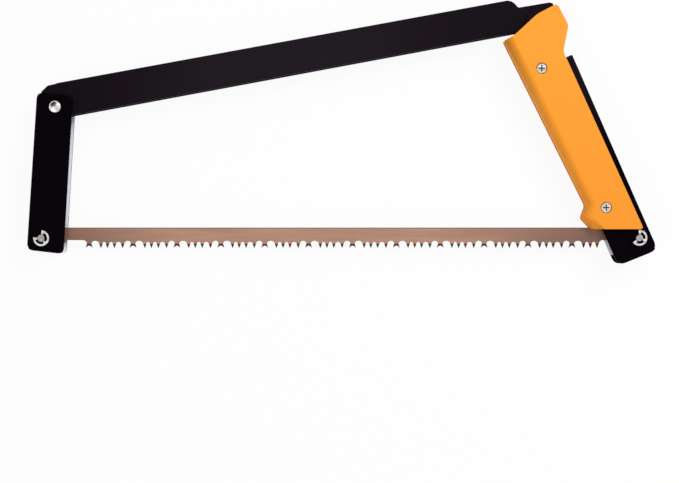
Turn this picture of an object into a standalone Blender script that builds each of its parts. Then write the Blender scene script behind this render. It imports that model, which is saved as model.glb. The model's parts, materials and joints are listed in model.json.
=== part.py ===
# Folding bow saw, laid flat: +X along the blade, +Y away from the teeth, +Z up from the bench.
import math

import bmesh
import bpy
from mathutils import Vector

# drawing grid: outlines are drawn in grid units from the top left, y down
GRID = 0.000889
GRID_X = 341.3996
GRID_Y = 132.9529

# heights measured from the saw's middle plane, metres
BLADE_HALF = 0.00045
SPINE_HALF = 0.007
WALL = 0.002
RUN = 0.0004
SEAT = 0.0003
ARM_INNER = SPINE_HALF + RUN
ARM_HALF = ARM_INNER + WALL
CLIP_THICK = 0.0010
PIN_NOSE = 0.0013
PIN_END = ARM_HALF + SEAT + CLIP_THICK + PIN_NOSE
GRIP_INNER = ARM_HALF + SEAT
GRIP_SKIN = 0.0020
GRIP_HALF = PIN_END + GRIP_SKIN
GRIP_SLOT = 0.0025
GRIP_ROUND = 0.0016
MIDDLE = GRIP_HALF

# pivots and pins
ARM_PIVOT = (56.0, 107.9)
FRONT_PIN = (42.3, 239.0)
REAR_PIN = (638.4, 238.6)
HANDLE_PIVOT = (540.0, 23.0)
UPPER_SCREW = (540.7, 70.0)
LOWER_SCREW = (604.8, 208.6)
PIN_R = 0.00305
HOLE_R = PIN_R + SEAT
BUSH_R = 0.0050
SPACER_R = 0.0045
CLIP_R = 0.0070
CLIP_BAND_R = 0.0053
FRONT_MOUTH = 86.0
REAR_MOUTH = 120.0
RIVET_HEAD_R = 0.0054
RIVET_HEAD_H = 0.0022

# rear slot that lets the rear pin slide while the saw folds
SLIDE = (-0.0075, -0.0079)
SLIDE_R = 0.0041
GUIDE_R = 0.0058
GUIDE_REACH = math.hypot(*SLIDE) + 0.0004

# grip screws
SCREW_HEAD_R = 0.0047
SCREW_HEAD_H = 0.0016
SCREW_SINK = 0.0003
SCREW_R = 0.0020
CROSS_LONG = 0.0029
CROSS_WIDE = 0.0006
CROSS_DEEP = 0.0009

# blade, heights and stations on the drawing grid
BLADE_BACK = 228.3
PLAIN_EDGE = 240.9
EYE_EDGE = 247.0
GULLET = 241.6
NARROW_GULLET = 242.7
ROOT = 244.9
TIP = 249.1
RAKER_TIP = 248.7
RAKER_NOTCH = 246.0
RAKER_HALF = 3.4
NECK_HALF = 2.0
CUTTER_HALF = 1.6
FIRST_RAKER = 88.5
RAKER_PITCH = 44.02
RAKER_COUNT = 12
CUTTERS = (11.75, 18.4, 25.3, 33.6)
LAST_CUTTERS = CUTTERS[:3]
FRONT_TAIL = 9.5
REAR_TAIL = 7.2
REAR_DROP = 6.0
EYE_LENGTH = 22.0

for old in list(bpy.data.objects):
    bpy.data.objects.remove(old)


def spot(p):
    return ((p[0] - GRID_X) * GRID, (GRID_Y - p[1]) * GRID)


def paint(name, colour, metal, rough):
    mat = bpy.data.materials.new(name)
    mat.use_nodes = True
    shader = mat.node_tree.nodes["Principled BSDF"]
    shader.inputs["Base Color"].default_value = (*colour, 1.0)
    shader.inputs["Metallic"].default_value = metal
    shader.inputs["Roughness"].default_value = rough
    return mat


spinePaint = paint("black_spine_coat", (0.010, 0.008, 0.011), 0.0, 0.42)
armPaint = paint("black_arm_coat", (0.006, 0.005, 0.006), 0.0, 0.45)
gripPaint = paint("orange_grip", (0.93, 0.36, 0.045), 0.0, 0.50)
bladeSteel = paint("blade_steel", (0.36, 0.27, 0.24), 1.0, 0.38)
zinc = paint("bright_zinc", (0.62, 0.60, 0.58), 1.0, 0.30)
nylon = paint("spacer_nylon", (0.10, 0.10, 0.10), 0.0, 0.55)


def finish(bm, name, mat, smooth=None):
    bmesh.ops.recalc_face_normals(bm, faces=bm.faces)
    mesh = bpy.data.meshes.new(name)
    bm.to_mesh(mesh)
    bm.free()
    obj = bpy.data.objects.new(name, mesh)
    bpy.context.scene.collection.objects.link(obj)
    if mat:
        mesh.materials.append(mat)
    if smooth:
        shade(obj, smooth)
    return obj


def shade(obj, angle):
    mesh = obj.data
    for face in mesh.polygons:
        face.use_smooth = True
    bm = bmesh.new()
    bm.from_mesh(mesh)
    for edge in bm.edges:
        edge.smooth = len(edge.link_faces) == 2 and edge.calc_face_angle(0.0) < math.radians(angle)
    bm.to_mesh(mesh)
    bm.free()


# a straight-sided solid from an outline in metres
def prism(name, outline, low, high, mat=None, roundAt=None, roundBy=0.0, steps=3):
    bm = bmesh.new()
    base = [bm.verts.new((x, y, MIDDLE + low)) for x, y in outline]
    top = [bm.verts.new((x, y, MIDDLE + high)) for x, y in outline]
    bm.faces.new(list(reversed(base)))
    bm.faces.new(top)
    count = len(outline)
    for i in range(count):
        j = (i + 1) % count
        bm.faces.new((base[i], base[j], top[j], top[i]))
    if roundAt:
        edges = [e for e in bm.edges if roundAt(e)]
        bmesh.ops.bevel(bm, geom=edges, offset=roundBy, segments=steps, profile=0.5, affect="EDGES",
                        clamp_overlap=True)
    return finish(bm, name, mat)


def circle(centre, radius, count=32):
    x, y = spot(centre)
    turn = 2 * math.pi / count
    return [(x + radius * math.cos(i * turn), y + radius * math.sin(i * turn)) for i in range(count)]


# a turned solid about a vertical line; an open profile must start and end on that line
def lathe(name, centre, profile, mat, count=32, closed=False):
    x, y = spot(centre)
    bm = bmesh.new()
    rings = []
    for r, z in profile:
        if r == 0:
            rings.append([bm.verts.new((x, y, MIDDLE + z))])
            continue
        ring = []
        for i in range(count):
            a = 2 * math.pi * i / count
            ring.append(bm.verts.new((x + r * math.cos(a), y + r * math.sin(a), MIDDLE + z)))
        rings.append(ring)
    pairs = list(zip(rings, rings[1:]))
    if closed:
        pairs.append((rings[-1], rings[0]))
    for lower, upper in pairs:
        for i in range(count):
            j = (i + 1) % count
            face = [lower[i % len(lower)], lower[j % len(lower)], upper[j % len(upper)], upper[i % len(upper)]]
            bm.faces.new(list(dict.fromkeys(face)))
    return finish(bm, name, mat, smooth=35)


def cut(obj, cutters, smooth=None):
    for cutter in cutters:
        mod = obj.modifiers.new("cut", "BOOLEAN")
        mod.operation = "DIFFERENCE"
        mod.solver = "EXACT"
        mod.object = cutter
    bpy.context.view_layer.update()
    deps = bpy.context.evaluated_depsgraph_get()
    mesh = bpy.data.meshes.new_from_object(obj.evaluated_get(deps))
    obj.modifiers.clear()
    obj.data = mesh
    for cutter in cutters:
        bpy.data.objects.remove(cutter)
    bm = bmesh.new()
    bm.from_mesh(mesh)
    bmesh.ops.remove_doubles(bm, verts=bm.verts, dist=0.00002)
    bmesh.ops.dissolve_degenerate(bm, edges=bm.edges, dist=0.00001)
    bm.to_mesh(mesh)
    bm.free()
    if smooth:
        shade(obj, smooth)
    return obj


def drill(centre, radius, low=-0.03, high=0.03, count=32):
    return prism("cutter", circle(centre, radius, count), low, high)


def trace(points):
    return [spot(p) for p in points]


# replace each named corner of a grid outline with a short arc
def soften(points, radius, keep=()):
    out = []
    count = len(points)
    for i in range(count):
        p = Vector(points[i])
        if i in keep:
            out.append(tuple(p))
            continue
        before = Vector(points[i - 1]) - p
        after = Vector(points[(i + 1) % count]) - p
        reach = min(radius, before.length * 0.45, after.length * 0.45)
        a = p + before.normalized() * reach
        b = p + after.normalized() * reach
        for step in range(5):
            t = step / 4
            out.append(tuple(a * (1 - t) ** 2 + p * 2 * t * (1 - t) + b * t ** 2))
    return out


# true when an edge lies flat on one of the two outer sides and both ends touch the web line
def alongWeb(start, end, half, reach=0.0006):
    a = Vector(spot(start))
    b = Vector(spot(end))
    along = (b - a).normalized()

    def near(v):
        d = Vector((v.co.x, v.co.y)) - a
        return abs(d.x * along.y - d.y * along.x) < reach and abs(abs(v.co.z - MIDDLE) - half) < 1e-6

    return lambda e: near(e.verts[0]) and near(e.verts[1])


def shifted(start, end, amount):
    a = Vector(start)
    b = Vector(end)
    along = (b - a).normalized()
    side = Vector((-along.y, along.x)) * amount / GRID
    return tuple(a + side), tuple(b + side), along


# spine: a channel open towards the blade, its two cheeks running on into the handle
spineTop = ((57.0, 84.0), (507.7, 1.4))
spineOutline = [(57, 84), (507.7, 1.4), (511.3, 2.4), (514, 4.1), (517.5, 7.9), (518.8, 8.6), (549.2, 3.5),
                (552.4, 4.3), (553.6, 6.8), (554, 20), (551, 26), (545, 28.2), (76, 115.5), (56, 119.2),
                (50, 119.8), (44.6, 117), (40.9, 112), (40.0, 106), (40.4, 99), (42.0, 92.4), (48.2, 86.6)]
spine = prism("spine", trace(spineOutline), -SPINE_HALF, SPINE_HALF, spinePaint,
              alongWeb(*spineTop, SPINE_HALF), 0.0018)
inA, inB, along = shifted(*spineTop, WALL)
inside = [tuple(Vector(inA) - along * 60), tuple(Vector(inB) + along * 60), (600, 80), (300, 170), (-20, 170)]
spineHoles = [prism("cutter", trace(inside), -SPINE_HALF + WALL, SPINE_HALF - WALL)]
spineHoles += [drill(ARM_PIVOT, HOLE_R), drill(HANDLE_PIVOT, HOLE_R)]
cut(spine, spineHoles, 35)

# front arm: a channel straddling the spine, web on the outer side
armWeb = ((37.9, 93.6), (27.8, 250.6))
armOutline = soften([armWeb[0], (73.6, 97.4), (64.2, 254.8), armWeb[1]], 6.0)
frontArm = prism("front_arm", trace(armOutline), -ARM_HALF, ARM_HALF, armPaint,
                 alongWeb(*armWeb, ARM_HALF), 0.0018)
inA, inB, along = shifted(*armWeb, -WALL)
inside = [tuple(Vector(inA) - along * 40), (160, 60), (160, 300), tuple(Vector(inB) + along * 40)]
armHoles = [prism("cutter", trace(inside), -ARM_INNER, ARM_INNER)]
armHoles += [drill(ARM_PIVOT, HOLE_R), drill(FRONT_PIN, HOLE_R)]
cut(frontArm, armHoles, 35)

# rear channel: the steel core of the handle, web along its back
webTop = (571.7, 55.8)
webFoot = (657.0, 250.5)
channelFront = [(527.8, 60.0), (617.6, 266.5)]
channelHead = [webTop, (565.4, 58.6), (557.5, 55), (552.5, 44), (552, 28), (549.8, 16.5), (545.5, 11), (540, 9),
               (532.5, 11), (527.5, 16.5), (526, 24)]
channelOutline = channelHead + soften(channelFront + [webFoot, webTop], 8.0, keep=(0, 3))[:-1]
rearChannel = prism("rear_channel", trace(channelOutline), -ARM_HALF, ARM_HALF, armPaint,
                    alongWeb(webTop, webFoot, ARM_HALF), 0.0018)
inA, inB, along = shifted(webTop, webFoot, WALL)
inside = [tuple(Vector(inA) - along * 90), tuple(Vector(inB) + along * 40), (480, 330), (400, -40)]


# round-ended outline that starts on the rear pin and runs a distance along the slide
def slotShape(radius, reach):
    x, y = spot(REAR_PIN)
    tilt = math.atan2(SLIDE[1], SLIDE[0])
    points = []
    for shift, turn in ((0, math.pi / 2), (reach, -math.pi / 2)):
        for i in range(17):
            a = tilt + turn + math.pi * i / 16
            points.append((x + shift * math.cos(tilt) + radius * math.cos(a),
                           y + shift * math.sin(tilt) + radius * math.sin(a)))
    return points


channelHoles = [prism("cutter", trace(inside), -ARM_INNER, ARM_INNER),
                prism("cutter", slotShape(SLIDE_R, math.hypot(*SLIDE)), -0.03, 0.03), drill(HANDLE_PIVOT, HOLE_R)]
channelHoles += [drill(UPPER_SCREW, SCREW_R + SEAT, count=24), drill(LOWER_SCREW, SCREW_R + SEAT, count=24)]
cut(rearChannel, channelHoles, 35)

# blade: plate with raker groups, round gullets and an eye at each end
def gullet(left, right, top):
    middle = (left + right) / 2
    half = (right - left) / 2
    turns = [math.pi * i / 8 for i in range(9)]
    return [(middle - half * math.cos(a), ROOT - (ROOT - top) * math.sin(a)) for a in turns]


teeth = [(FIRST_RAKER - 9, PLAIN_EDGE)] + gullet(FIRST_RAKER - 11, FIRST_RAKER - NECK_HALF, PLAIN_EDGE)[4:]
for group in range(RAKER_COUNT):
    x = FIRST_RAKER + RAKER_PITCH * group
    teeth += [(x - RAKER_HALF, RAKER_TIP), (x - RAKER_HALF / 2, RAKER_NOTCH + 0.7), (x, RAKER_NOTCH)]
    teeth += [(x + RAKER_HALF / 2, RAKER_NOTCH + 0.7), (x + RAKER_HALF, RAKER_TIP)]
    wall = x + NECK_HALF
    top = GULLET
    last = group == RAKER_COUNT - 1
    for offset in LAST_CUTTERS if last else CUTTERS:
        teeth += gullet(wall, x + offset - CUTTER_HALF, top) + [(x + offset, TIP)]
        wall = x + offset + CUTTER_HALF
        top = NARROW_GULLET
    if last:
        teeth += gullet(wall, wall + 8, PLAIN_EDGE)[:5]
    else:
        teeth += gullet(wall, x + RAKER_PITCH - NECK_HALF, GULLET)
front = FRONT_PIN[0] - FRONT_TAIL
rear = REAR_PIN[0] + REAR_TAIL
edge = [(front, BLADE_BACK + 3), (front + 3, BLADE_BACK), (rear - 3 * REAR_TAIL, BLADE_BACK)]
edge += [(rear, BLADE_BACK + REAR_DROP), (rear, EYE_EDGE - 3), (rear - 3, EYE_EDGE), (rear - EYE_LENGTH, EYE_EDGE)]
edge += [(rear - EYE_LENGTH - 6, PLAIN_EDGE)] + teeth[::-1] + [(front + EYE_LENGTH + 12, PLAIN_EDGE)]
edge += [(front + EYE_LENGTH + 6, EYE_EDGE), (front + 3, EYE_EDGE), (front, EYE_EDGE - 3)]
blade = prism("blade", trace(edge), -BLADE_HALF, BLADE_HALF, bladeSteel)
cut(blade, [drill(FRONT_PIN, HOLE_R), drill(REAR_PIN, HOLE_R)], 35)

# grip halves: moulded shells either side of the rear channel with a slot for the folded blade
gripCorners = [(502.6, 42.8), (513.4, 37.1), (536, 16.2), (556, 5.6), (567.2, 27), (562.2, 53.4), (642.2, 230.0),
               (590.2, 230.0), (579.4, 218.3), (584.2, 206.2)]
gripOutline = soften(gripCorners, 3.0)
pocketFront = [(x - 1.4, y) for x, y in channelFront]
corePocket = [(524.4, 8), (524.4, 26)] + pocketFront + [(720, 290), (720, -30), (524.4, -30)]
spinePocket = [(470, 45.6), (505, 38.2), (540, 31.4), (545, -30), (470, -30)]


def gripHalf(name, side):
    low, high = sorted((side * GRIP_SLOT, side * GRIP_HALF))
    outer = MIDDLE + side * GRIP_HALF

    def outside(e):
        return all(abs(v.co.z - outer) < 1e-6 for v in e.verts)

    half = prism(name, trace(gripOutline), low, high, gripPaint, outside, GRIP_ROUND, 4)
    pockets = []
    for outline, depth in ((trace(corePocket), GRIP_INNER), (trace(spinePocket), ARM_INNER),
                           (circle(HANDLE_PIVOT, 0.0205, 40), ARM_INNER)):
        pockets.append(prism("cutter", outline, *sorted((side * depth, -side * 0.002))))
    for place in (UPPER_SCREW, LOWER_SCREW):
        floor = GRIP_HALF - SCREW_SINK - SCREW_HEAD_H - SEAT
        pockets.append(drill(place, SCREW_HEAD_R + SEAT, *sorted((side * floor, side * 0.03))))
        pockets.append(drill(place, SCREW_R + SEAT, count=24))
    for pocket in pockets:
        cut(half, [pocket])
    shade(half, 35)
    return half


gripHalf("grip_near", 1)
gripHalf("grip_far", -1)


# cross-recess screws, head outward
def screw(name, place, side):
    top = GRIP_HALF - SCREW_SINK
    under = top - SCREW_HEAD_H
    profile = [(0, ARM_INNER + SEAT), (SCREW_R, ARM_INNER + SEAT), (SCREW_R, under), (SCREW_HEAD_R, under)]
    profile += [(SCREW_HEAD_R, top - 0.0006), (SCREW_HEAD_R * 0.86, top - 0.0002), (0, top)]
    body = lathe(name, place, [(r, side * z) for r, z in profile], zinc)
    x, y = spot(place)
    arm = CROSS_LONG
    thin = CROSS_WIDE
    cross = [(arm, thin), (thin, thin), (thin, arm), (-thin, arm), (-thin, thin), (-arm, thin), (-arm, -thin),
             (-thin, -thin), (-thin, -arm), (thin, -arm), (thin, -thin), (arm, -thin)]
    recess = prism("cutter", [(x + a, y + b) for a, b in cross], *sorted((side * (top - CROSS_DEEP), side * 0.03)))
    return cut(body, [recess], 35)


for sideName, side in (("near", 1), ("far", -1)):
    screw("upper_screw_" + sideName, UPPER_SCREW, side)
    screw("lower_screw_" + sideName, LOWER_SCREW, side)


# round shanks: the headed arm rivet, the two blade pins and the handle pivot
def pinProfile(end, chamfer):
    return [(0, -end), (PIN_R - chamfer, -end), (PIN_R, -end + chamfer), (PIN_R, end - chamfer),
            (PIN_R - chamfer, end), (0, end)]


seat = ARM_HALF + SEAT
dome = []
for i in range(6):
    a = math.pi / 2 * i / 5
    dome.append((RIVET_HEAD_R * math.cos(a), seat + 0.0004 + RIVET_HEAD_H * math.sin(a)))
dome[-1] = (0, dome[-1][1])
rivet = [(PIN_R, 0), (PIN_R, seat), (RIVET_HEAD_R, seat)] + dome
rivet = [(r, -z) for r, z in reversed(rivet[1:])] + rivet[1:]
lathe("arm_rivet", ARM_PIVOT, rivet, zinc)
lathe("front_blade_pin", FRONT_PIN, pinProfile(PIN_END, 0.0005), zinc)
lathe("rear_blade_pin", REAR_PIN, pinProfile(PIN_END, 0.0005), zinc)
lathe("handle_pivot_pin", HANDLE_PIVOT, pinProfile(ARM_HALF, 0.0004), zinc)


# hollow round pieces: pivot bushes inside the spine and blade spacers inside the arms
def ring(name, centre, outer, low, high, mat):
    profile = [(HOLE_R, low), (outer, low), (outer, high), (HOLE_R, high)]
    return lathe(name, centre, profile, mat, closed=True)


bushEnd = SPINE_HALF - WALL - SEAT
ring("arm_pivot_bush", ARM_PIVOT, BUSH_R, -bushEnd, bushEnd, nylon)
ring("handle_pivot_bush", HANDLE_PIVOT, BUSH_R, -bushEnd, bushEnd, nylon)
ring("front_spacer_near", FRONT_PIN, SPACER_R, BLADE_HALF + SEAT, ARM_INNER - SEAT, nylon)
ring("front_spacer_far", FRONT_PIN, SPACER_R, -ARM_INNER + SEAT, -BLADE_HALF - SEAT, nylon)


# rear spacers: slipper plates that ride on the pin and keep the slide slot closed
def slipper(name, low, high):
    plate = prism(name, slotShape(GUIDE_R, GUIDE_REACH), low, high, nylon)
    return cut(plate, [drill(REAR_PIN, HOLE_R)], 35)


slipper("rear_spacer_near", BLADE_HALF + SEAT, ARM_INNER - SEAT)
slipper("rear_spacer_far", -ARM_INNER + SEAT, -BLADE_HALF - SEAT)


# retaining clips: open rings with three prongs that close on the pin
def clip(name, centre, opening, mouth, low):
    x, y = spot(centre)
    start = math.radians(opening + mouth / 2)
    sweep = math.radians(360 - mouth)
    steps = 52
    outer = []
    inner = []
    for i in range(steps + 1):
        t = i / steps
        a = start + sweep * t
        prong = t < 0.085 or t > 0.915 or abs(t - 0.5) < 0.05
        r = HOLE_R if prong else CLIP_BAND_R
        outer.append((x + CLIP_R * math.cos(a), y + CLIP_R * math.sin(a)))
        inner.append((x + r * math.cos(a), y + r * math.sin(a)))
    return prism(name, outer + inner[::-1], low, low + CLIP_THICK, zinc)


for sideName, low in (("near", ARM_HALF + SEAT), ("far", -ARM_HALF - SEAT - CLIP_THICK)):
    clip("front_clip_" + sideName, FRONT_PIN, 130, FRONT_MOUTH, low)
    clip("rear_clip_" + sideName, REAR_PIN, 155, REAR_MOUTH, low)


# joints: an empty on each axis carries the pieces that turn about it
def hinge(name, place, members, carrier=None):
    pivot = bpy.data.objects.new(name, None)
    pivot.location = (*spot(place), MIDDLE)
    bpy.context.scene.collection.objects.link(pivot)
    bpy.context.view_layer.update()
    if carrier:
        pivot.parent = carrier
        pivot.matrix_parent_inverse = carrier.matrix_world.inverted()
        bpy.context.view_layer.update()
    for member in members:
        piece = bpy.data.objects[member]
        piece.parent = pivot
        piece.matrix_parent_inverse = pivot.matrix_world.inverted()
    return pivot


def pair(*names):
    return [name + side for name in names for side in ("_near", "_far")]


hinge("handle_hinge", HANDLE_PIVOT, ["rear_channel"] + pair("grip", "upper_screw", "lower_screw"))
armHinge = hinge("front_arm_hinge", ARM_PIVOT, ["front_arm", "front_blade_pin"] + pair("front_clip", "front_spacer"))
hinge("blade_hinge", FRONT_PIN, ["blade", "rear_blade_pin"] + pair("rear_clip", "rear_spacer"), armHinge)
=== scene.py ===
import json
import math

import bmesh
import bpy
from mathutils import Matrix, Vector


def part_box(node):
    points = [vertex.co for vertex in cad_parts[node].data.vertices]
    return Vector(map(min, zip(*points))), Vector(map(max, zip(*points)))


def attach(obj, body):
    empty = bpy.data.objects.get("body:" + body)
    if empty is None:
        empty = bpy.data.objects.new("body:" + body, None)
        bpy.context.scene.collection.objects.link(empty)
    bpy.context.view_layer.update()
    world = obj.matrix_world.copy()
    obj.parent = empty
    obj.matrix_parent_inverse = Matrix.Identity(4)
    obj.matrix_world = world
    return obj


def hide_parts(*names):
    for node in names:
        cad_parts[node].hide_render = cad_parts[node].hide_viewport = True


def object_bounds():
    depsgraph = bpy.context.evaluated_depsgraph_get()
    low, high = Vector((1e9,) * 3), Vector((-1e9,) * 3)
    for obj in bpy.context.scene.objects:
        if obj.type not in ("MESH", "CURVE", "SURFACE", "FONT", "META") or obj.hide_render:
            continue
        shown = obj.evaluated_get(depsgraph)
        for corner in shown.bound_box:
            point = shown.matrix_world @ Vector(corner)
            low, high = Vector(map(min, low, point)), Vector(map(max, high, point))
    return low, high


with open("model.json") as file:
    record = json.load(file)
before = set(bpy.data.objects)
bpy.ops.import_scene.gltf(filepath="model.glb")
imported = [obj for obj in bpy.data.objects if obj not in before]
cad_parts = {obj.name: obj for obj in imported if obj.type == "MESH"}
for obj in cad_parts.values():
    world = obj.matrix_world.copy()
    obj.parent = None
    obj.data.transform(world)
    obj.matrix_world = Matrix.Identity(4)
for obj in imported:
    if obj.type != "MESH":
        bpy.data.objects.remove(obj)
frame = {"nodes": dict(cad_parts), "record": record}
cadLow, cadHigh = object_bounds()
nodes = frame["nodes"]
scene = bpy.context.scene
middle = (cadLow + cadHigh) / 2
print("frame loaded:", len(nodes), "nodes")


# a socket that can be used in sums
class Wire:
    def __init__(self, tree, socket):
        self.tree = tree
        self.socket = socket

    def maths(self, operation, *values):
        node = self.tree.nodes.new("ShaderNodeMath")
        node.operation = operation
        for slot, value in zip(node.inputs, values):
            plug(self.tree, slot, value)
        return Wire(self.tree, node.outputs[0])

    def __add__(self, other):
        return self.maths("ADD", self, other)

    def __radd__(self, other):
        return self.maths("ADD", other, self)

    def __sub__(self, other):
        return self.maths("SUBTRACT", self, other)

    def __rsub__(self, other):
        return self.maths("SUBTRACT", other, self)

    def __mul__(self, other):
        return self.maths("MULTIPLY", self, other)

    def __rmul__(self, other):
        return self.maths("MULTIPLY", other, self)

    def __gt__(self, other):
        return self.maths("GREATER_THAN", self, other)

    def __lt__(self, other):
        return self.maths("LESS_THAN", self, other)

    def __abs__(self):
        return self.maths("ABSOLUTE", self)


def plug(tree, slot, value):
    if isinstance(value, Wire):
        tree.links.new(value.socket, slot)
    else:
        slot.default_value = value


class Nodes:
    def __init__(self, owner):
        owner.use_nodes = True
        self.tree = owner.node_tree
        self.tree.nodes.clear()

    # settings go on first, then the sockets by name or number
    def add(self, kind, settings=None, sockets=None, out=0):
        node = self.tree.nodes.new("ShaderNode" + kind)
        for key, value in (settings or {}).items():
            if key == "stops":
                ramp = node.color_ramp
                while len(ramp.elements) < len(value):
                    ramp.elements.new(0.5)
                for stop, (place, colour) in zip(ramp.elements, value):
                    stop.position = place
                    stop.color = colour
            else:
                setattr(node, key, value)
        for key, value in (sockets or {}).items():
            plug(self.tree, node.inputs[key], value)
        return Wire(self.tree, node.outputs[out])

    # 0 at start, 1 at end, eased between them
    def fade(self, value, start, end):
        return self.add("MapRange", {"interpolation_type": "SMOOTHSTEP"},
                        {"Value": value, "From Min": start, "From Max": end})

    # 1 where the backdrop is seen, straight or in a mirror or glass
    def seen(self):
        straight = self.add("LightPath", out="Is Camera Ray")
        mirrored = self.add("LightPath", out="Is Glossy Ray")
        through = self.add("LightPath", out="Is Transmission Ray")
        return straight + mirrored + through


class Finish(Nodes):
    def __init__(self, name):
        self.material = bpy.data.materials.new(name)
        super().__init__(self.material)

    def place(self):
        return self.add("TexCoord", out="Object")

    # one coordinate of a vector, the place on the piece if none is given
    def axis(self, letter, vector=None):
        return self.add("SeparateXYZ", None, {0: vector or self.place()}, out=letter)

    # grain is stretch, scale, detail and roughness
    def noise(self, grain):
        stretch, scale, detail, rough = grain
        vector = self.place()
        if stretch:
            vector = self.add("Mapping", None, {"Vector": vector, "Scale": stretch})
        return self.add("TexNoise", None, {"Vector": vector, "Scale": scale, "Detail": detail, "Roughness": rough})

    # black below the first limit, white above the second
    def between(self, value, limits):
        low, high = limits
        return self.add("ValToRGB", {"stops": [(low, grey(0.0)), (high, grey(1.0))]}, {"Fac": value})

    def blend(self, factor, first, second):
        return self.add("Mix", {"data_type": "RGBA"}, {0: factor, 6: first, 7: second}, out=2)

    def bump(self, height, strength, distance):
        return self.add("Bump", None, {"Height": height, "Strength": strength, "Distance": distance})

    def shader(self, sockets):
        self.finish(self.add("BsdfPrincipled", None, sockets))
        return self.material

    def finish(self, surface):
        out = self.tree.nodes.new("ShaderNodeOutputMaterial")
        self.tree.links.new(surface.socket, out.inputs["Surface"])


def grey(value):
    return (value, value, value, 1.0)


# black coat on the pressed channels, darker on the arm and the handle's core; on the spine a painted sheen along
# the middle with painted shade towards both ends, and on the channels' inner faces a painted reflection of the
# white floor
spineLook = {
    "dark": (0.0084, 0.0051, 0.0088, 1.0),
    "light": (0.0146, 0.0094, 0.0153, 1.0),
    "cloud": (None, 14.0, 3.0, 0.55),
    "cloudRough": 0.10,
    # painted sheen: the coat is lightest about the given x and fades to a painted shade towards both ends
    "ends": (0.0046, 0.0022, 0.0046, 1.0),
    "sheenCentre": -0.055,
    "sheenFade": (0.02, 0.22),
    "rubbed": (0.016, 0.014, 0.016, 1.0),
    "scuffs": ((9.0, 70.0, 70.0), 6.0, 6.0, 0.7),
    "scuffLimits": (0.66, 0.74),
    "rub": 0.25,
    "rubSmooth": 0.06,
    "rough": 0.42,
    "gloss": 0.05,
    "peel": (None, 1900.0, 2.0, 0.55),
    "peelBump": (0.20, 0.00012),
    "paintedFloorReflection": (0.900, 0.890, 0.960, 1.0),  # painted reflection of the white floor on the inside of the cheeks
    "reflectionFromY": None,
    "flat": 0.7,
    "inside": 0.0085,
    "ear": (0.0110, 0.0068, 0.0116, 1.0),  # the core's upper end is as the spine
    "earFade": None,
}
slipperLook = dict(
    spineLook,
    dark=(0.0014, 0.0006, 0.0016, 1.0),
    light=(0.0026, 0.0013, 0.0030, 1.0),
    ends=None,
    gloss=0.012,
)
armLook = dict(slipperLook, reflectionFromY=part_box("front_arm")[0].y)
rearLook = dict(slipperLook, reflectionFromY=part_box("rear_channel")[0].y + 0.0075, earFade=(-0.030, 0.060))


def coatFinish(name, look):
    f = Finish(name)
    cloud = f.noise(look["cloud"])
    rub = f.between(f.noise(look["scuffs"]), look["scuffLimits"])
    coat = f.blend(cloud, look["dark"], look["light"])
    # painted sheen in the middle, painted shade towards both ends
    if look["ends"]:
        away = abs(f.axis("X") - look["sheenCentre"])
        coat = f.blend(f.fade(away, *look["sheenFade"]), coat, look["ends"])
    coat = f.blend(rub * look["rub"], coat, look["rubbed"])
    if look["earFade"]:
        coat = f.blend(f.fade(f.axis("Y"), *look["earFade"]), coat, look["ear"])
    # painted reflection: flat inner faces near the middle plane, above the given height, are painted pale like the
    # white floor they mirror
    if look["reflectionFromY"] is not None:
        facing = f.axis("Z", f.add("NewGeometry", out="Normal"))
        flat = abs(facing) > look["flat"]
        inside = abs(f.axis("Z") - middle.z) < look["inside"]
        coat = f.blend(flat * inside * (f.axis("Y") > look["reflectionFromY"]), coat, look["paintedFloorReflection"])
    rough = look["rough"] + cloud * look["cloudRough"] - rub * look["rubSmooth"]
    skin = f.bump(f.noise(look["peel"]), *look["peelBump"])
    return f.shader({"Base Color": coat, "Roughness": rough, "Specular IOR Level": look["gloss"], "Normal": skin})


# orange moulding with a fine spark-eroded skin, with painted shade: darker, deeper orange towards the foot and
# lighter towards the head
gripLook = {
    "colour": (0.960, 0.352, 0.026, 1.0),
    "shadedFoot": (0.920, 0.300, 0.018, 1.0),
    "flow": ((5.0, 9.0, 9.0), 4.0, 2.0, 0.55),
    "flowShare": 0.35,
    "foot": -0.075,
    "head": 0.075,
    "rough": 0.46,
    "handled": (None, 30.0, 4.0, 0.55),
    "handledRough": 0.12,
    "gloss": 0.22,
    "skin": (None, 2600.0, 2.0, 0.55),
    "skinBump": (0.22, 0.00010),
}


def gripFinish():
    look = gripLook
    f = Finish("gripMoulding")
    # painted shade at the foot rising to painted light at the head
    rise = f.add("MapRange", None, {"Value": f.axis("Y"), "From Min": look["foot"], "From Max": look["head"]})
    tone = f.noise(look["flow"]) * look["flowShare"] + rise * (1 - look["flowShare"])
    rough = look["rough"] + f.noise(look["handled"]) * look["handledRough"]
    return f.shader({
        "Base Color": f.blend(tone, look["shadedFoot"], look["colour"]),
        "Roughness": rough,
        "Specular IOR Level": look["gloss"],
        "Normal": f.bump(f.noise(look["skin"]), *look["skinBump"]),
    })


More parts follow.
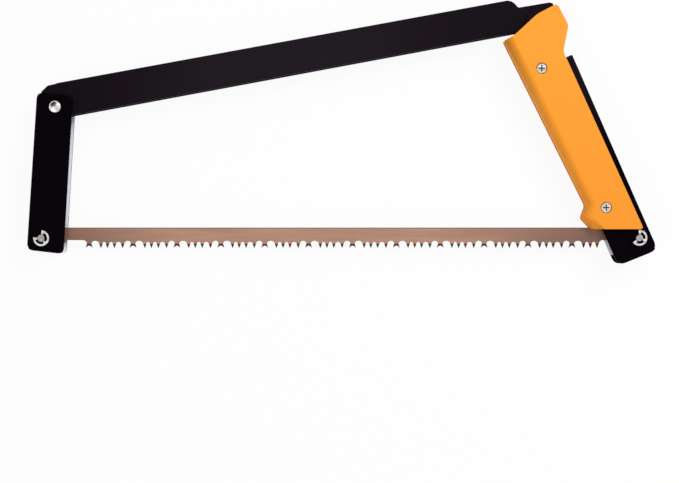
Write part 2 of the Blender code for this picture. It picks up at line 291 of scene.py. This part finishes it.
# ground blade steel: fine lines along its length, blued where the teeth were hardened, with a painted sheen in the
# middle and painted shade towards both ends
bladeLook = {
    "light": (0.515, 0.303, 0.216, 1.0),
    "dark": (0.340, 0.194, 0.142, 1.0),
    "lines": ((6.0, 1500.0, 1500.0), 3.0, 5.0, 0.6),
    "tone": ((5.0, 40.0, 40.0), 2.0, 3.0, 0.55),
    "lineShare": 0.6,
    "toneShare": 0.4,
    "groundLimits": (0.36, 0.64),
    "ends": (0.140, 0.077, 0.061, 1.0),
    "shadedEndShare": 0.75,
    "sheenCentre": -0.035,
    "sheenFade": (0.10, 0.27),
    "burnished": (0.175, 0.120, 0.105, 1.0),
    "backShare": 0.7,
    "backLine": 0.0013,
    "backEdge": 0.0004,
    "hardened": (0.034, 0.023, 0.027, 1.0),
    "hardDepth": 0.0040,
    "hardEdge": 0.0007,
    "ragged": ((60.0, 60.0, 60.0), 6.0, 3.0, 0.55),
    "hardWander": 0.0008,
    "rough": 0.36,
    "lineRough": 0.16,
    "lineBump": (0.18, 0.00008),
}


def bladeFinish():
    look = bladeLook
    f = Finish("bladeSteel")
    low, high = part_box("blade")
    lines = f.noise(look["lines"])
    streaks = lines * look["lineShare"] + f.noise(look["tone"]) * look["toneShare"]
    colour = f.blend(f.between(streaks, look["groundLimits"]), look["dark"], look["light"])
    # painted sheen: lighter about the given x, painted shade towards both ends
    away = abs(f.axis("X") - look["sheenCentre"])
    colour = f.blend(f.fade(away, *look["sheenFade"]) * look["shadedEndShare"], colour, look["ends"])
    height = f.axis("Y")
    back = f.fade(height, high.y - look["backLine"], high.y - look["backEdge"])
    colour = f.blend(back * look["backShare"], colour, look["burnished"])
    depth = height - low.y + (f.noise(look["ragged"]) - 0.5) * look["hardWander"]
    tip = f.fade(depth, look["hardDepth"] + look["hardEdge"], look["hardDepth"] - look["hardEdge"])
    return f.shader({
        "Base Color": f.blend(tip, colour, look["hardened"]),
        "Metallic": 1.0,
        "Roughness": look["rough"] + lines * look["lineRough"],
        "Normal": f.bump(lines, *look["lineBump"]),
    })


# bright zinc on clips, rivet and screws, duller on the pins; the screws' drive recess gets painted shade
zincLook = {
    "light": (0.840, 0.830, 0.820, 1.0),
    "dull": (0.480, 0.470, 0.460, 1.0),
    "patch": (None, 420.0, 5.0, 0.6),
    "patchLimits": (0.35, 0.65),
    "rough": 0.20,
    "patchRough": 0.14,
    "patchBump": (0.10, 0.00010),
    "recessShade": (0.030, 0.026, 0.030, 1.0),
    "recess": None,
}
pinLook = dict(zincLook, light=(0.520, 0.510, 0.490, 1.0), dull=(0.240, 0.235, 0.225, 1.0))
rivetLook = dict(zincLook, rough=0.04)
screwLook = dict(zincLook, recess=0.0007)


def zincFinish(name, look):
    f = Finish(name)
    patch = f.noise(look["patch"])
    colour = f.blend(f.between(patch, look["patchLimits"]), look["dull"], look["light"])
    metal = 1.0
    # painted shade in the screws' drive recess: dark and not metallic below the head top
    if look["recess"]:
        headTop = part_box("upper_screw_near")[1].z - middle.z
        sunk = abs(f.axis("Z") - middle.z) < headTop - look["recess"]
        colour = f.blend(sunk, colour, look["recessShade"])
        metal = 1 - sunk
    return f.shader({
        "Base Color": colour,
        "Metallic": metal,
        "Roughness": look["rough"] + patch * look["patchRough"],
        "Normal": f.bump(patch, *look["patchBump"]),
    })


finishes = {
    "spine_coat": coatFinish("spineCoat", spineLook),
    "arm_coat": coatFinish("armCoat", armLook),
    "grip": gripFinish(),
    "blade_steel": bladeFinish(),
    "hardware": zincFinish("brightZinc", zincLook),
    "spacer": coatFinish("slipperBlack", slipperLook),
}
slotOf = {part["node"]: part["material_slot"] for part in frame["record"]["subparts"]}
screwZinc = zincFinish("screwZinc", screwLook)
pinZinc = zincFinish("pinZinc", pinLook)
ownFinish = {name: screwZinc for name in nodes if "screw" in name}
ownFinish.update({name: pinZinc for name in nodes if name.endswith("pin")})
ownFinish["arm_rivet"] = zincFinish("rivetZinc", rivetLook)
ownFinish["rear_channel"] = coatFinish("rearCoat", rearLook)
print("finishes made:", len(finishes) + len(set(ownFinish.values())))


# broken edges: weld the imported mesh, then round what is sharper than the limit
edgeBreaks = {
    "channels": ("spine", "front_arm", "rear_channel"),
    "channelBreak": 0.00035,
    "clipBreak": 0.00018,
    "segments": 2,
    "limit": math.radians(40),
    "weld": 0.00001,
}


def weldMesh(obj):
    weld = obj.modifiers.new("weld", "WELD")
    weld.merge_threshold = edgeBreaks["weld"]


def breakEdges(obj, width):
    weldMesh(obj)
    bevel = obj.modifiers.new("edges", "BEVEL")
    bevel.width = width
    bevel.segments = edgeBreaks["segments"]
    bevel.limit_method = "ANGLE"
    bevel.angle_limit = edgeBreaks["limit"]
    bevel.harden_normals = False


for name, obj in nodes.items():
    obj.data.materials.clear()
    obj.data.materials.append(ownFinish.get(name) or finishes[slotOf[name]])
    if name in edgeBreaks["channels"]:
        breakEdges(obj, edgeBreaks["channelBreak"])
    elif "clip" in name:
        breakEdges(obj, edgeBreaks["clipBreak"])
print("finishes on the frame")


# blade with set cutters and full-bodied rakers in place of the plain plate
toothShape = {
    "set": 0.00045,
    "thin": 0.45,
    "root": 0.0058,
    "tipBand": 0.0001,
    "reach": 0.0026,
    "unset": 1.6,  # reaches either side of a raker that stay straight
    "firstRaker": -0.22483,
    "rakerPitch": 0.039134,
    "rakerCount": 12,
    "rakerBody": 0.0021,
    "notchTop": 0.0032,
    "notchFill": 0.0003,
}


def nearestRaker(x):
    count = round((x - toothShape["firstRaker"]) / toothShape["rakerPitch"])
    count = max(0, min(toothShape["rakerCount"] - 1, count))
    return toothShape["firstRaker"] + count * toothShape["rakerPitch"]


def setBlade():
    mesh = nodes["blade"].data.copy()
    blade = bpy.data.objects.new("setBlade", mesh)
    scene.collection.objects.link(blade)
    low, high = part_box("blade")
    midPlane = (low.z + high.z) / 2
    tips = sorted({round(v.co.x, 5) for v in mesh.vertices if v.co.y < low.y + toothShape["tipBand"]})
    for v in mesh.vertices:
        rise = v.co.y - low.y
        depth = 1 - rise / toothShape["root"]
        if depth <= 0:
            continue
        raker = nearestRaker(v.co.x)
        off = v.co.x - raker
        if abs(off) < toothShape["rakerBody"] and rise > toothShape["notchTop"]:
            v.co.x = raker + math.copysign(toothShape["rakerBody"], off)
        elif abs(off) < toothShape["rakerBody"]:
            v.co.y -= toothShape["notchFill"]
        nearest = min(range(len(tips)), key=lambda i: abs(tips[i] - v.co.x))
        if abs(tips[nearest] - v.co.x) > toothShape["reach"]:
            continue
        side = 1 if nearest % 2 else -1
        if abs(off) < toothShape["reach"] * toothShape["unset"]:
            side = 0
        thickness = (v.co.z - midPlane) * (1 - toothShape["thin"] * depth)
        v.co.z = midPlane + thickness + side * toothShape["set"] * depth
    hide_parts("blade")
    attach(blade, "blade")


setBlade()
print("blade set")


# grip halves with the full round of the palm side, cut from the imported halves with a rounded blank
gripShape = {
    "palm": [(0.1447, 0.0800), (0.2172, -0.0655), (0.2128, -0.0765), (0.2238, -0.0880)],
    "round": 0.0104,
    "spread": 0.0080,
    "steps": 18,
    "crowding": 2.0,  # more steps near the flat face
    "overlap": 0.000002,
    "underlap": 0.004,
    "cornerRound": 0.0030,
    "cornerShare": 0.45,
    "cornerSteps": 4,
    "headMargin": 0.06,
    "footMargin": 0.02,
    "backReach": 0.18,
    "sharpAngle": math.radians(35),
    "flatFace": 0.99999,
}


# the palm's outline moved in by a depth, with rounded corners and both ends drawn out
def palmLine(depth):
    points = [Vector(p) for p in gripShape["palm"]]
    aways = []
    for a, b in zip(points, points[1:]):
        along = (b - a).normalized()
        aways.append(Vector((-along.y, along.x)))
    moved = [points[0] + aways[0] * depth]
    for i in range(1, len(points) - 1):
        mitre = (aways[i - 1] + aways[i]).normalized()
        moved.append(points[i] + mitre * depth / mitre.dot(aways[i]))
    moved.append(points[-1] + aways[-1] * depth)
    first = moved[0] + (moved[0] - moved[1]).normalized() * gripShape["headMargin"]
    last = moved[-1] + (moved[-1] - moved[-2]).normalized() * gripShape["footMargin"]
    line = [first]
    for i in range(1, len(moved) - 1):
        before = moved[i - 1] - moved[i]
        after = moved[i + 1] - moved[i]
        share = gripShape["cornerShare"]
        reach = min(gripShape["cornerRound"], before.length * share, after.length * share)
        a = moved[i] + before.normalized() * reach
        b = moved[i] + after.normalized() * reach
        for step in range(gripShape["cornerSteps"] + 1):
            t = step / gripShape["cornerSteps"]
            line.append(a * (1 - t) ** 2 + moved[i] * 2 * t * (1 - t) + b * t ** 2)
    return line + [last]


def palmBlank(side, outer):
    r = gripShape["round"]
    crown = outer + gripShape["overlap"]
    bm = bmesh.new()

    def row(depth, height, back=0.0):
        return [bm.verts.new((p.x + back, p.y, middle.z + side * height)) for p in palmLine(depth)]

    rows = [row(0.0, -gripShape["underlap"])]
    for i in range(gripShape["steps"] + 1):
        turn = math.radians(90) * (1 - (1 - i / gripShape["steps"]) ** gripShape["crowding"])
        rows.append(row(gripShape["spread"] * (1 - math.cos(turn)), crown - r + r * math.sin(turn)))
    rows.append(row(gripShape["spread"], crown, gripShape["backReach"]))
    rows.append(row(gripShape["spread"], -gripShape["underlap"], gripShape["backReach"]))
    for lower, upper in zip(rows, rows[1:] + rows[:1]):
        for i in range(len(lower) - 1):
            bm.faces.new((lower[i], lower[i + 1], upper[i + 1], upper[i]))
    bm.faces.new([line[0] for line in rows])
    bm.faces.new([line[-1] for line in rows])
    bmesh.ops.recalc_face_normals(bm, faces=bm.faces)
    mesh = bpy.data.meshes.new("palmBlank")
    bm.to_mesh(mesh)
    bm.free()
    blank = bpy.data.objects.new("palmBlank", mesh)
    scene.collection.objects.link(blank)
    return blank


def roundGrip(node, name, side):
    shell = bpy.data.objects.new(name, nodes[node].data.copy())
    scene.collection.objects.link(shell)
    low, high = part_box(node)
    outer = (high.z if side > 0 else low.z) * side - middle.z * side
    blank = palmBlank(side, outer)
    weldMesh(shell)
    trim = shell.modifiers.new("trim", "BOOLEAN")
    trim.operation = "INTERSECT"
    trim.solver = "EXACT"
    trim.object = blank
    shaped = bpy.data.meshes.new_from_object(shell.evaluated_get(bpy.context.evaluated_depsgraph_get()))
    shell.modifiers.clear()
    shell.data = shaped
    bpy.data.objects.remove(blank)
    shaped.shade_smooth()
    shaped.set_sharp_from_angle(angle=gripShape["sharpAngle"])
    for face in shaped.polygons:
        face.use_smooth = abs(face.normal.z) < gripShape["flatFace"]
    shaped.materials.clear()
    shaped.materials.append(finishes["grip"])
    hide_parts(node)
    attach(shell, "handle")
    print(name, "faces:", len(shaped.polygons))


roundGrip("grip_near", "gripShellNear", 1)
roundGrip("grip_far", "gripShellFar", -1)


# floor, light and camera
shot = {
    "height": 1.5,
    "frameWidth": 0.6020,
    "facePlane": 0.023,
    "aim": (-0.0016, -0.0972),
    "sensor": 36.0,
    "farClip": 50.0,
    "floorReach": 6.0,
    "floorDrop": 0.0002,
    "floorTone": 0.90,
    "floorGlow": 0.92,
    "keyPower": 25.0,
    "keyPlace": (1.1, 1.0, 1.4),
    "keySize": (1.0, 0.9),
    "fillPower": 6.0,
    "fillPlace": (-0.9, -1.0, 1.3),
    "fillSize": (1.2, 1.2),
    "skyLevel": 0.52,
    "flagTowards": Vector((-0.42, 0.52, 0.72)).normalized(),  # dark flag, seen only in bright metal
    "flagEdge": 0.83,
    "flagSoft": 0.10,
    "flagDepth": 0.92,
}


def layFloor():
    reach = shot["floorReach"]
    corners = [(-reach, -reach, 0), (reach, -reach, 0), (reach, reach, 0), (-reach, reach, 0)]
    mesh = bpy.data.meshes.new("floor")
    mesh.from_pydata(corners, [], [(0, 1, 2, 3)])
    floor = bpy.data.objects.new("floor", mesh)
    floor.location.z = cadLow.z - shot["floorDrop"]
    scene.collection.objects.link(floor)
    f = Finish("paleFloor")
    board = f.add("BsdfDiffuse", None, {"Color": grey(shot["floorTone"])})
    glow = f.add("Emission", None, {"Color": grey(1.0), "Strength": 1.0})
    f.finish(f.add("MixShader", None, {0: f.seen() * shot["floorGlow"], 1: board, 2: glow}))
    mesh.materials.append(f.material)


def hangLight(name, power, place, size):
    lamp = bpy.data.lights.new(name, "AREA")
    lamp.shape = "RECTANGLE"
    lamp.size, lamp.size_y = size
    lamp.energy = power
    obj = bpy.data.objects.new(name, lamp)
    obj.location = place
    aim = Vector((0, 0, 0)) - Vector(place)
    obj.rotation_euler = aim.to_track_quat("-Z", "Y").to_euler()
    scene.collection.objects.link(obj)


def lightSky():
    world = bpy.data.worlds.new("studio")
    scene.world = world
    n = Nodes(world)
    ray = n.add("TexCoord", out="Generated")
    towards = n.add("VectorMath", {"operation": "DOT_PRODUCT"}, {0: ray, 1: shot["flagTowards"]}, out="Value")
    flag = n.fade(towards, shot["flagEdge"], shot["flagEdge"] + shot["flagSoft"])
    dim = flag * n.add("LightPath", out="Is Glossy Ray") * shot["flagDepth"]
    level = n.seen() * (1 - shot["skyLevel"]) + shot["skyLevel"]
    sky = n.add("Background", None, {"Color": grey(1.0), "Strength": level * (1 - dim)})
    out = n.tree.nodes.new("ShaderNodeOutputWorld")
    n.tree.links.new(sky.socket, out.inputs["Surface"])


def setCamera():
    data = bpy.data.cameras.new("camera")
    data.sensor_width = shot["sensor"]
    data.lens = shot["sensor"] * shot["height"] / shot["frameWidth"]
    data.clip_end = shot["farClip"]
    camera = bpy.data.objects.new("camera", data)
    camera.location = (*shot["aim"], cadLow.z + shot["facePlane"] + shot["height"])
    scene.collection.objects.link(camera)
    scene.camera = camera


layFloor()
hangLight("keyLight", shot["keyPower"], shot["keyPlace"], shot["keySize"])
hangLight("fillLight", shot["fillPower"], shot["fillPlace"], shot["fillSize"])
lightSky()
setCamera()
scene.view_settings.view_transform = "Standard"
print("stage set")
